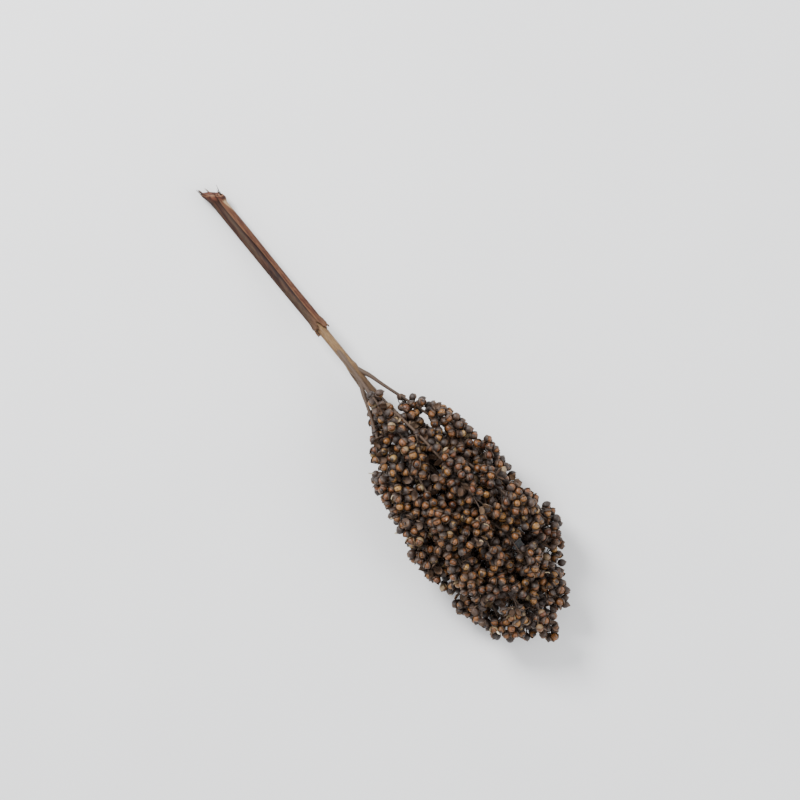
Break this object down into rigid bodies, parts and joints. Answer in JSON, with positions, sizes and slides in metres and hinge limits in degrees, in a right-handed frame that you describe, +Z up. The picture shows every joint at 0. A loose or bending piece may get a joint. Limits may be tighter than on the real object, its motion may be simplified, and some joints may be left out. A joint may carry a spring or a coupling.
{
  "type": "sorghum seed head",
  "caption": "Dry sorghum seed head lying on its side: closely packed round seeds in dark husks on branching stems, at the end of a cut stalk wrapped in a dry leaf sheath.",
  "frame": {"origin": "under the middle of the whole head and stalk, on the surface that it lies on", "axes": "+X along the stalk from its cut end to the tip of the head, +Z up, +Y across"},
  "size_m": [0.3046, 0.0772, 0.0522],
  "materials": {
    "stalk": "satin",
    "sheath": "matte",
    "stem": "matte",
    "grain": "satin",
    "husk": "satin",
    "chaff": "matte"
  },
  "bodies": {
    "root": {"stalk": "stalk", "leaf_sheath": "sheath", "branch_01": "stem", "seeds_01": "grain", "branch_02": "stem", "seeds_02": "grain", "branch_03": "stem", "seeds_03": "grain", "branch_04": "stem", "seeds_04": "grain", "branch_05": "stem", "seeds_05": "grain", "branch_06": "stem", "seeds_06": "grain", "branch_07": "stem", "seeds_07": "grain", "branch_08": "stem", "seeds_08": "grain", "branch_09": "stem", "seeds_09": "grain", "branch_10": "stem", "seeds_10": "grain", "branch_11": "stem", "seeds_11": "grain", "branch_12": "stem", "seeds_12": "grain", "branch_13": "stem", "seeds_13": "grain", "branch_14": "stem", "seeds_14": "grain", "branch_15": "stem", "seeds_15": "grain", "branch_16": "stem", "seeds_16": "grain", "branch_17": "stem", "seeds_17": "grain", "branch_18": "stem", "seeds_18": "grain", "branch_19": "stem", "seeds_19": "grain", "branch_20": "stem", "seeds_20": "grain", "branch_21": "stem", "seeds_21": "grain", "branch_22": "stem", "seeds_22": "grain", "branch_23": "stem", "seeds_23": "grain", "branch_24": "stem", "seeds_24": "grain", "branch_25": "stem", "seeds_25": "grain", "branch_26": "stem", "seeds_26": "grain", "branch_27": "stem", "seeds_27": "grain", "branch_28": "stem", "seeds_28": "grain", "tip_seeds": "grain"}
  },
  "joints": []
}
